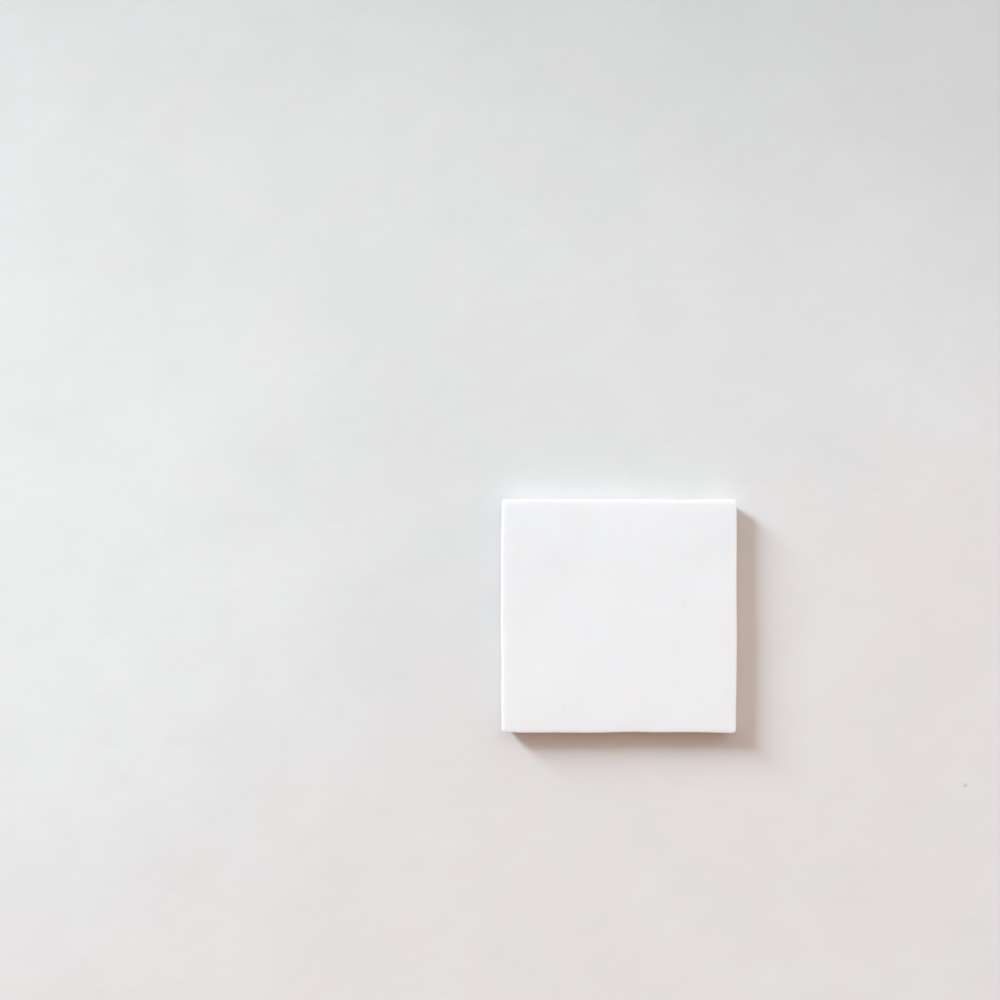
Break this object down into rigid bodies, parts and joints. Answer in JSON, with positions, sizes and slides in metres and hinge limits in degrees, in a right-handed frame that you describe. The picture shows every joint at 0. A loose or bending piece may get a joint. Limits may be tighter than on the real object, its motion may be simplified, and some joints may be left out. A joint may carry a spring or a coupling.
{
  "type": "ceramic wall tile",
  "caption": "Square glazed wall tile with a softly uneven hand-finished face, rounded arrises and a shallow keyed back for bonding to a wall.",
  "frame": {"origin": "middle of the back, in the plane of its ribs and border", "axes": "+Z out of the glazed face, +X across the tile, +Y along its other side, which points up in the picture"},
  "size_m": [0.1311, 0.1299, 0.0102],
  "materials": {
    "glazed_tile": "satin white glaze on the face, over the arris and part way down the sides, with bare pinkish cream biscuit below it and on the back"
  },
  "bodies": {
    "root": {"tile": "glazed_tile"}
  },
  "joints": []
}
